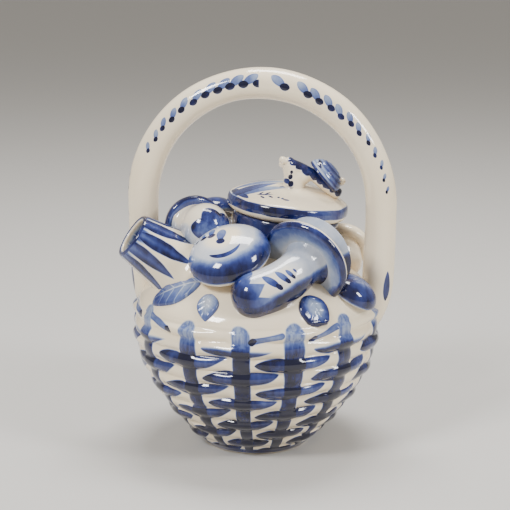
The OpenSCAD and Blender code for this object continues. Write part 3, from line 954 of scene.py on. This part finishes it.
front_right_pos = Vector((26.0, -38.0, 111.3))
front_right_axis = Vector((0.52, 0.77, 0.36)).normalized()
front_right_r = 24.5
bend_route = [
    (32.0, -30.0, 113.5, 21.5),
    (28.1, -35.6, 112.0, 16.5),
    (24.2, -41.0, 110.0, 11.6),
    (17.8, -48.0, 105.5, 11.4),
    (8.0, -53.2, 100.2, 12.2),
    (-1.8, -55.8, 97.2, 12.4),
]
stem_middle = Vector((9.0, -50.0, 102.0))
stem_along = Vector((0.82, 0.397, 0.413)).normalized()
stem_out = Vector((0.252, -0.897, 0.362)).normalized()


def bent_stem_point(u, w):
    angle = 2 * math.pi * u
    share = min(max((w - 0.06) / 0.64, 0.0), 1.0)
    x, y, z, r = smooth_route(bend_route, share)
    ahead = smooth_route(bend_route, min(share + 0.01, 1.0))
    behind = smooth_route(bend_route, max(share - 0.01, 0.0))
    tangent = (Vector(ahead[:3]) - Vector(behind[:3])).normalized()
    side = tangent.cross(Vector((0.0, 0.0, 1.0))).normalized()
    rise = side.cross(tangent)
    centre = Vector((x, y, z))
    if w < 0.06:
        r *= w / 0.06
    if w > 0.70:
        a = math.pi / 2 * (w - 0.70) / 0.30
        centre += tangent * (r * 0.92 * math.sin(a))
        r *= math.cos(a) ** 0.9
    return centre + (side * math.cos(angle) + rise * math.sin(angle)) * r


def front_right_cap_paint(s):
    x, y, z = s.split(s.local(front_right_pos, facing(-front_right_axis)))
    radius, angle = span(s, x, y)
    ragged = s.add(radius, s.mul(s.sub(s.mottle(120.0), 0.5), 2.4))
    under = s.step(ragged, 8.0, front_right_r - 2.0, 0.06, 0.60)
    upper = s.add(0.66, s.mul(s.do("SINE", s.add(angle, 0.5)), 0.38))
    under = s.mul(under, upper)
    grey = s.step(ragged, 9.0, 17.0, 0.04, 0.22)
    rim = s.step(ragged, front_right_r - 5.0, front_right_r - 1.2, 0.0, 0.84)
    # Painted shade: the lower tip of the underside is darkened almost to black where it tucks
    # against the small right cap
    from_tip, _ = span(s, s.sub(x, 19.0), s.add(y, 18.0))
    painted_shade_tip = s.step(from_tip, 11.0, 2.0, 0.0, 0.98)
    edge_line = s.step(z, -0.5, 0.3)
    front = s.mul(s.most(under, grey, rim, painted_shade_tip), edge_line)
    back_wash = s.mul(s.step(z, -1.4, -2.2), s.step(radius, 2.0, 12.0, 0.60, 0.98))
    return s.most(front, back_wash)


def bent_stem_paint(s):
    turn = Matrix((stem_along, stem_out.cross(stem_along), stem_out)).transposed()
    x, y, z = s.split(s.local(stem_middle, turn.to_euler("XYZ")))
    rough = s.mul(s.sub(s.mottle(90.0), 0.5), 3.0)
    low = s.step(s.add(y, rough), -3.2, -8.2, 0.0, 0.94)
    points = s.mul(s.do("PINGPONG", s.add(y, 14.0), 4.2), 1.5)
    end_reach = s.sub(s.mul(x, -1.0), s.sub(points, 2.0))
    end_wash = s.mul(s.step(end_reach, 9.5, 10.5), s.step(s.add(x, rough), -11.0, -21.0, 0.50, 0.84))
    end_dark = s.step(s.sub(s.mul(x, -0.75), s.add(y, rough)), 14.5, 20.0, 0.0, 0.96)
    neck = s.step(s.add(x, s.mul(s.do("ABSOLUTE", y), 0.3)), 6.0, 18.0, 0.05, 0.22)
    pale = s.step(s.do("ABSOLUTE", s.add(y, -8.0)), 5.0, 1.0, 0.0, 0.16)
    strokes_tail = s.most(
        dab(s, x, y, (-4.5, 1.8), -64.0, 5.6, 2.1, 0.62, 0.72, -0.1),
        dab(s, x, y, (2.0, 1.1), -68.0, 4.8, 1.8, 0.50, 0.66),
        dab(s, x, y, (6.3, 0.6), -72.0, 3.1, 1.3, 0.50, 0.66),
        dab(s, x, y, (9.6, 0.6), -74.0, 1.6, 0.7, 0.70, 0.80))
    strokes_dot = s.most(
        dab(s, x, y, (-2.4, -2.4), -64.0, 2.3, 1.5, 0.93, 0.93),
        dab(s, x, y, (3.3, -2.0), -68.0, 1.9, 1.3, 0.93, 0.93),
        dab(s, x, y, (7.1, -1.6), -72.0, 1.5, 1.0, 0.93, 0.93))
    front = s.step(z, 0.0, 2.0)
    washes = s.most(low, end_wash, end_dark, neck, pale)
    return s.most(washes, s.mul(s.most(strokes_tail, strokes_dot), front))


make_piece("front_right_mushroom_cap",
           cap_shape(front_right_pos, front_right_axis, front_right_r, 8.5, 2.6, 3.0, 0.012),
           "pot", ["front_right_cap"],
           glazed("front_right_cap_porcelain", front_right_cap_paint))
make_piece("front_right_mushroom_stem", rolled_sheet(80, 110, bent_stem_point), "pot",
           ["front_right_stem"],
           glazed("bent_stem_porcelain", bent_stem_paint))

# ---- Mushrooms at the right and the back --------------------------------------------------
# A small dark cap in front of the handle's right foot, a plain cream mushroom beside the neck,
# a dark one behind the left mushroom, and a large blue one in the middle of the back.

right_pos = Vector((51.5, -29.0, 92.0))
right_axis = Vector((0.50, -0.12, 0.86)).normalized()
right_r = 14.0
back_right_pos = Vector((52.0, 22.0, 108.0))
back_right_axis = Vector((0.40, 0.70, 0.60)).normalized()
back_left_pos = Vector((-25.0, 27.0, 122.0))
back_left_axis = Vector((-0.30, 0.50, 0.81)).normalized()
behind_r = 14.5
back_pos = Vector((7.0, 52.5, 105.0))
back_axis = Vector((0.12, 0.82, 0.56)).normalized()
back_r = 21.0


def dark_wash(place, axis, r, middle, edge):
    """Paint of a cap whose wash deepens from its middle to its rim."""
    def paint(s):
        x, y, z = s.split(s.local(place, facing(axis)))
        radius, angle = span(s, x, y)
        rays = s.mul(s.do("SINE", s.add(s.mul(angle, 9.0), s.mul(s.mottle(60.0), 6.0))), 0.05)
        ragged = s.add(radius, s.mul(s.sub(s.mottle(120.0), 0.5), 3.0))
        wash = s.add(s.step(ragged, r * 0.15, r * 0.95, middle, edge), rays)
        return s.mul(wash, s.step(z, -2.0, 0.0, 0.15, 1.0))
    return paint


def plain_paint(s):
    return s.step(s.mottle(50.0), 0.4, 0.7, 0.0, 0.035)


plain_porcelain = glazed("plain_porcelain", plain_paint)
make_piece("right_mushroom", cap_shape(right_pos, right_axis, right_r, 9.0, 2.4, 0.8), "pot",
           ["right_cap"],
           glazed("right_cap_porcelain", dark_wash(right_pos, right_axis, right_r, 0.46, 0.88)))
make_piece("back_right_mushroom_cap",
           cap_shape(back_right_pos, back_right_axis, behind_r, 8.0, 2.4, 1.4),
           "pot", ["back_right_cap"], plain_porcelain)
make_piece("back_right_mushroom_stem",
           stem_shape(back_right_pos - back_right_axis * 2.4, (0.02, -0.80, -0.60), 20.0, 7.5,
                      8.5),
           "pot", ["back_right_stem"], plain_porcelain)
make_piece("back_left_mushroom_cap",
           cap_shape(back_left_pos, back_left_axis, behind_r, 11.0, 2.4, 1.2),
           "pot", ["back_left_cap"],
           glazed("back_left_porcelain",
                  dark_wash(back_left_pos, back_left_axis, behind_r, 0.55, 0.86)))
make_piece("back_left_mushroom_stem",
           stem_shape(back_left_pos - back_left_axis * 2.4, -back_left_axis, 16.0, 8.5, 9.5),
           "pot", ["back_left_stem"], plain_porcelain)
make_piece("back_mushroom_cap", cap_shape(back_pos, back_axis, back_r, 12.0, 3.5, 2.0), "pot",
           ["back_cap"],
           glazed("back_cap_porcelain", dark_wash(back_pos, back_axis, back_r, 0.06, 0.72)))
make_piece("back_mushroom_stem",
           stem_shape(back_pos - back_axis * 3.5, (0.35, -0.72, -0.60), 22.0, 10.0, 11.0),
           "pot", ["back_stem"], plain_porcelain)

# ---- Leaves ------------------------------------------------------------------------------
# Six thin leaves laid on the shoulder, each a shaped slip of clay with a raised midrib and
# rim. Cobalt washes darken their edges and the veins are left pale.

leaf_rise = 1.5


def shoulder_point(angle, r):
    return Vector((r * math.cos(angle), r * math.sin(angle), shoulder_z(r)))


def leaf_frame(angle, r, turn):
    """Place and axes (along, across, out) of a leaf lying on the shoulder."""
    angle = math.radians(angle)
    slope = math.atan2(shoulder_z(r - 3.0) - shoulder_z(r + 3.0), 6.0)
    level = (Matrix.Rotation(angle, 3, "Z") @ Matrix.Rotation(slope, 3, "Y")
             @ Matrix.Rotation(math.radians(turn), 3, "Z"))
    return shoulder_point(angle, r), level


def leaf_half_width(t, roundness):
    """Half of the width at share t of the leaf's length, from -1 at the stalk to 1 at the tip."""
    return max(0.0, 1.0 - abs(t) ** (2.0 * roundness)) ** 0.8 * (1.0 - 0.12 * t)


def leaf_shape(place, level, length, width, roundness):
    """A closed leaf that follows the shoulder, with ribs on top and its underside buried."""
    def point(u, w):
        t = 2.0 * w - 1.0
        top = u < 0.5
        v = 4.0 * u - 1.0 if top else 3.0 - 4.0 * u
        half = width / 2 * leaf_half_width(t, roundness)
        flat = place + level @ Vector((t * length / 2, v * half, 0.0))
        r = math.hypot(flat.x, flat.y)
        ground = shoulder_z(r)
        edge = 1.0 - max(abs(v), abs(t)) ** 6
        if not top:
            return Vector((flat.x, flat.y, ground - 1.8 * edge))
        rib = 0.55 * math.exp(-((v * half / 0.7) ** 2))
        side_rib = 0.22 * math.exp(-((math.sin(2.4 * math.pi * (t - 0.45 * abs(v))) / 0.35) ** 2))
        rolled = 0.35 * math.exp(-(((abs(v) - 0.86) / 0.10) ** 2))
        rise = leaf_rise * edge ** 0.5 + (rib + side_rib + rolled) * edge
        return Vector((flat.x, flat.y, ground)) + level @ Vector((0.0, 0.0, rise))

    return rolled_sheet(56, 60, point)


def leaf_paint_of(place, level, length, width, edge_load, middle_load, vein):
    def paint(s):
        x, y, _ = s.split(s.local(place, level.to_euler("XYZ")))
        ragged = s.mul(s.sub(s.mottle(200.0), 0.5), 0.35)
        t = s.mul(x, 2.0 / length)
        v = s.mul(y, 2.0 / width)
        out = s.do("SQRT", s.add(s.mul(t, t), s.mul(v, v)))
        wash = s.step(s.add(out, ragged), 0.25, 0.95, middle_load, edge_load)
        ends = s.mul(t, 0.10)
        midrib = s.step(s.do("ABSOLUTE", y), 0.25, 0.75, vein, 0.0)
        side = s.do("ABSOLUTE", s.do("SINE", s.mul(s.sub(t, s.mul(s.do("ABSOLUTE", v), 0.45)),
                                                   2.4 * math.pi)))
        side = s.step(side, 0.10, 0.28, vein * 0.8, 0.0)
        return s.sub(s.add(wash, ends), s.most(midrib, side))
    return paint


def add_leaf(name, node, spot, size, washes, roundness=0.8):
    place, level = leaf_frame(*spot)
    length, width = size
    make_piece(name, leaf_shape(place, level, length, width, roundness), "pot",
               [node], glazed(name + "_porcelain",
                              leaf_paint_of(place, level, length, width, *washes)))


add_leaf("pointed_leaf_slip", "pointed_leaf", (-139.5, 56.0, -52.0), (31.0, 18.0),
         (0.56, 0.40, 0.20), 0.9)
add_leaf("small_leaf_slip", "small_leaf", (-115.0, 60.0, 8.0), (15.5, 12.5),
         (0.46, 0.24, 0.0), 1.0)
add_leaf("round_leaf_slip", "round_leaf", (-60.8, 62.0, 17.0), (21.2, 17.2),
         (0.84, 0.34, 0.0), 1.1)
add_leaf("back_left_leaf_slip", "back_left_leaf", (125.0, 56.0, 50.0), (30.0, 14.0),
         (0.56, 0.30, 0.16))
add_leaf("back_leaf_slip", "back_leaf", (150.0, 60.0, -15.0), (18.0, 12.0),
         (0.50, 0.24, 0.0), 1.0)
add_leaf("back_right_leaf_slip", "back_right_leaf", (55.0, 58.0, 60.0), (26.0, 14.0),
         (0.62, 0.30, 0.14))

# ---- Lid ---------------------------------------------------------------------------------
# A loose domed lid with a rounded rim and a locating ring underneath. A cobalt band runs round
# its side over a white lip, a broad wash fans in from the left, and small sprigs fill the front.

lid_r = 33.7
ring_r = 24.3
ring_depth = 8.0
lid_outline = [
    (0.0, 14.2), (9.0, 13.4), (15.5, 10.8), (19.6, 7.4), (21.1, 3.5), (21.1, 0.0), (21.1, -4.0),
    (21.2, -7.3), (21.9, -ring_depth), (23.4, -ring_depth), (24.2, -7.3), (ring_r, -4.0),
    (ring_r, -0.6), (24.5, 0.3), (25.4, 0.35), (28.5, 0.35), (30.6, 0.6), (32.4, 1.7),
    (33.4, 3.2), (lid_r, 4.9), (33.65, 6.6), (33.3, 8.1), (32.7, 9.0), (31.9, 9.7),
    (30.0, 10.9), (27.0, 12.4), (23.0, 14.0), (18.0, 15.5), (12.0, 16.7), (6.0, 17.35),
    (0.0, 17.5),
]


def lid_point(u, w):
    angle = 2 * math.pi * u
    r, z = smooth_route(lid_outline, w)
    across = neck_x * math.cos(angle) + neck_y * math.sin(angle)
    return seat + across * max(r, 0.0) + neck_axis * z


def lid_paint(s):
    x, y, z = s.split(s.local(seat, own_frame(neck_axis)))
    radius, _ = span(s, x, y)
    waver = s.mul(s.sub(s.mottle(75.0), 0.5), 1.3)
    height = s.add(z, waver)
    band_load = s.add(s.step(s.mottle(38.0), 0.35, 0.65, 0.56, 0.86),
                      s.step(s.do("ABSOLUTE", s.add(x, 6.0)), 14.0, 5.0, 0.0, 0.12))
    band = s.mul(s.mul(s.step(height, 3.5, 4.0), s.step(height, 8.7, 9.3, 1.0, 0.0)), band_load)
    band = s.mul(band, s.step(radius, lid_r - 6.0, lid_r - 4.0))
    top = s.step(z, 8.8, 9.8)
    washes = s.most(
        dab(s, x, y, (-21.0, -9.5), 14.0, 15.0, 4.8, 0.90, 0.50, -0.35, 0.008),
        dab(s, x, y, (-15.0, -14.0), 8.0, 13.0, 3.4, 0.56, 0.24, -0.2),
        dab(s, x, y, (-14.0, 0.0), 6.0, 17.0, 4.2, 0.50, 0.20, -0.2),
        dab(s, x, y, (-18.0, 9.5), -6.0, 13.0, 3.6, 0.66, 0.26, -0.3),
        dab(s, x, y, (-29.5, -7.0), 108.0, 6.5, 1.9, 0.84, 0.84),
        dab(s, x, y, (-25.6, -16.5), 122.0, 6.0, 1.5, 0.80, 0.66))
    sprig = s.most(
        dab(s, x, y, (-4.6, -10.6), 30.0, 2.0, 0.8, 0.60, 0.72),
        dab(s, x, y, (0.6, -10.0), -6.0, 3.6, 0.7, 0.92, 0.92),
        dab(s, x, y, (0.4, -11.8), 40.0, 1.5, 0.8, 0.80, 0.92))
    twig = s.most(
        dab(s, x, y, (-14.0, -21.2), -12.0, 4.6, 0.55, 0.90, 0.80, 0.0, 0.03),
        dab(s, x, y, (-16.0, -19.4), 40.0, 1.9, 0.75, 0.92, 0.92),
        dab(s, x, y, (-12.4, -20.2), 32.0, 1.9, 0.75, 0.92, 0.92),
        dab(s, x, y, (-15.0, -23.4), -46.0, 1.7, 0.65, 0.86, 0.86),
        dab(s, x, y, (-10.6, -23.8), -40.0, 1.6, 0.65, 0.86, 0.86))
    berries = s.most(
        dab(s, x, y, (-6.4, -24.6), 0.0, 0.8, 0.7, 0.95, 0.95),
        dab(s, x, y, (-4.2, -25.6), 0.0, 0.9, 0.7, 0.80, 0.80),
        dab(s, x, y, (-2.2, -26.6), -8.0, 1.8, 0.7, 0.88, 0.70))
    return s.most(band, s.mul(s.most(washes, sprig, twig, berries), top))


make_piece("domed_lid", rolled_sheet(128, 150, lid_point), "lid", ["lid"],
           glazed("lid_porcelain", lid_paint))

# ---- Snail on the lid --------------------------------------------------------------------
# The lid's knob: a small snail modelled by hand from joined rolls of clay, open under its
# middle, with a domed striped shell low on its back. Two horns and a tiny knob are pressed on.

snail_y = 3.0
head = Vector((17.8, snail_y, 157.2))
chest = Vector((20.8, snail_y, 148.5))
front_foot = Vector((20.6, snail_y, 141.0))
saddle = Vector((30.2, snail_y, 151.4))
tail = Vector((43.5, snail_y, 141.2))
shell_place = Vector((36.8, snail_y, 149.2))
shell_axis = Vector((0.766, 0.0, 0.643)).normalized()
shell_r = 11.0
shell_h = 8.6
knob_place = Vector((47.0, snail_y - 1.0, 147.4))
snail_limbs = [
    (head, 3.7, chest, 6.0, 10.0),
    (chest, 6.0, front_foot, 6.6, 12.0),
    (chest, 6.0, saddle, 3.3, 11.0),
    (head, 3.4, saddle, 3.3, 9.0),
    (saddle, 3.3, tail, 4.0, 11.0),
]


def roll_of_clay(target, start, start_r, end, end_r, wide):
    """Adds a rounded roll between two points, widened from front to back."""
    along = end - start
    length = along.length
    along.normalize()
    side = Vector((0.0, 1.0, 0.0))
    rise = side.cross(along)
    made = bmesh.ops.create_uvsphere(target, u_segments=32, v_segments=24, radius=1.0)
    for vert in made["verts"]:
        share = 0.5 + 0.5 * max(-1.0, min(1.0, vert.co.z * 1.6))
        r = start_r + (end_r - start_r) * share
        centre = start + along * (length * share)
        point = centre + along * (vert.co.z * r * 0.9) + rise * (vert.co.x * r)
        vert.co = (point + side * (vert.co.y * wide / 2)) * MM


def settled(shape, voxel, smoothing):
    """Joins overlapping closed shapes into one skin and smooths the joints."""
    mesh = bpy.data.meshes.new("rough")
    shape.to_mesh(mesh)
    shape.free()
    rough = bpy.data.objects.new("rough", mesh)
    bpy.context.collection.objects.link(rough)
    remesh = rough.modifiers.new("one_skin", "REMESH")
    remesh.mode = "VOXEL"
    remesh.voxel_size = voxel
    bpy.context.view_layer.update()
    joined = bpy.data.meshes.new_from_object(
        rough.evaluated_get(bpy.context.evaluated_depsgraph_get()))
    result = bmesh.new()
    result.from_mesh(joined)
    for _ in range(smoothing):
        bmesh.ops.smooth_vert(result, verts=result.verts, factor=0.5, use_axis_x=True,
                              use_axis_y=True, use_axis_z=True)
    bpy.data.objects.remove(rough)
    bpy.data.meshes.remove(mesh)
    bpy.data.meshes.remove(joined)
    return result


def snail_paint(s):
    x, y, z = s.split(s.local((0.0, snail_y, 0.0), (0.0, 0.0, 0.0)))
    front = s.step(y, -1.0, -2.5)
    # Dark dots hanging down the chest
    grapes = s.most(
        dab(s, x, z, (19.2, 153.0), 80.0, 1.1, 0.9, 0.98, 0.98),
        dab(s, x, z, (18.6, 150.4), 60.0, 1.6, 1.3, 0.98, 0.98),
        dab(s, x, z, (16.6, 147.9), 0.0, 1.9, 1.6, 0.70, 0.70),
        dab(s, x, z, (18.8, 146.6), 60.0, 1.9, 1.6, 0.96, 0.96))
    # A dark scalloped line along the top of the back
    crest_start = (18.6, 159.6)
    crest_angle = math.atan2(-18.0, 26.0)
    dx = s.sub(x, crest_start[0])
    dz = s.sub(z, crest_start[1])
    along = s.add(s.mul(dx, math.cos(crest_angle)), s.mul(dz, math.sin(crest_angle)))
    below = s.sub(s.mul(dx, math.sin(crest_angle)), s.mul(dz, math.cos(crest_angle)))
    wander = s.mul(s.sub(s.mottle(150.0), 0.5), 5.0)
    scallop = s.mul(s.do("ABSOLUTE", s.do("SINE", s.add(s.mul(along, 0.72), wander))), 1.1)
    crest = s.mul(s.step(s.sub(below, scallop), 1.3, 0.7), s.step(along, -1.5, -0.5))
    crest = s.mul(crest, s.step(along, 40.0, 36.0))
    return s.most(s.mul(grapes, front), s.mul(crest, 0.90))


def shell_paint(s):
    x, y, z = s.split(s.local(shell_place, own_frame(shell_axis)))
    uneven = s.mul(s.sub(s.mottle(260.0), 0.5), 0.9)
    level = s.add(z, uneven)
    stripes = s.step(s.do("SINE", s.mul(level, 2.9)), -0.7, 0.8, 0.22, 0.38)
    deeper = s.step(s.add(level, s.mul(x, 0.35)), -0.5, 6.5, 0.0, 0.34)
    edge = s.step(z, 1.7, 0.9, 0.0, 0.82)
    # Two short dark strokes near the top of the shell
    marks = s.mul(s.most(dab(s, y, z, (-4.4, 4.4), 12.0, 2.4, 0.8, 0.96, 0.96),
                         dab(s, y, z, (-6.6, 3.2), 12.0, 2.0, 0.8, 0.96, 0.96)),
                  s.step(x, 0.0, -2.0))
    return s.most(s.add(stripes, deeper), edge, marks)


def horn_paint(s):
    return s.step(s.mottle(300.0), 0.5, 0.8, 0.0, 0.05)


snail = bmesh.new()
for start_point, start_r, end_point, end_r, wide in snail_limbs:
    roll_of_clay(snail, start_point, start_r, end_point, end_r, wide)
make_piece("snail_figure", settled(snail, 0.4 * MM, 5), "lid", ["snail_body"],
           glazed("snail_porcelain", snail_paint, 0.06))

horns = bmesh.new()
for side in (-1, 1):
    place = head + Vector((-3.6, side * 2.6, 0.6 - side * 1.6))
    roll_of_clay(horns, place + Vector((1.6, 0.0, -0.6)), 1.9, place, 2.1, 4.4)
make_piece("snail_horn_pair", horns, "lid", ["snail_horns"],
           glazed("horn_porcelain", horn_paint, 0.06))


def shell_point(u, w):
    angle = 2 * math.pi * u
    if w < 0.2:
        r, z = shell_r * w / 0.2, -0.2 * (w / 0.2) ** 2
    else:
        a = math.pi / 2 * (w - 0.2) / 0.8
        r = shell_r * math.cos(a) ** 0.92
        z = shell_h * math.sin(a) + 0.16 * math.sin(26.0 * a) * math.sin(2 * a)
    r *= 1.0 + 0.01 * math.cos(2 * angle)
    turn = own_frame(shell_axis).to_matrix()
    return shell_place + turn @ Vector((r * math.cos(angle), r * math.sin(angle), z))


make_piece("snail_shell_dome", rolled_sheet(80, 72, shell_point), "lid",
           ["snail_shell"], glazed("shell_porcelain", shell_paint, 0.06))

knob = bmesh.new()
roll_of_clay(knob, knob_place + Vector((-0.4, 0.0, -0.5)), 2.1, knob_place, 2.2, 4.2)
make_piece("snail_tail_knob", knob, "lid", ["snail_knob"],
           glazed("knob_porcelain", horn_paint, 0.06))
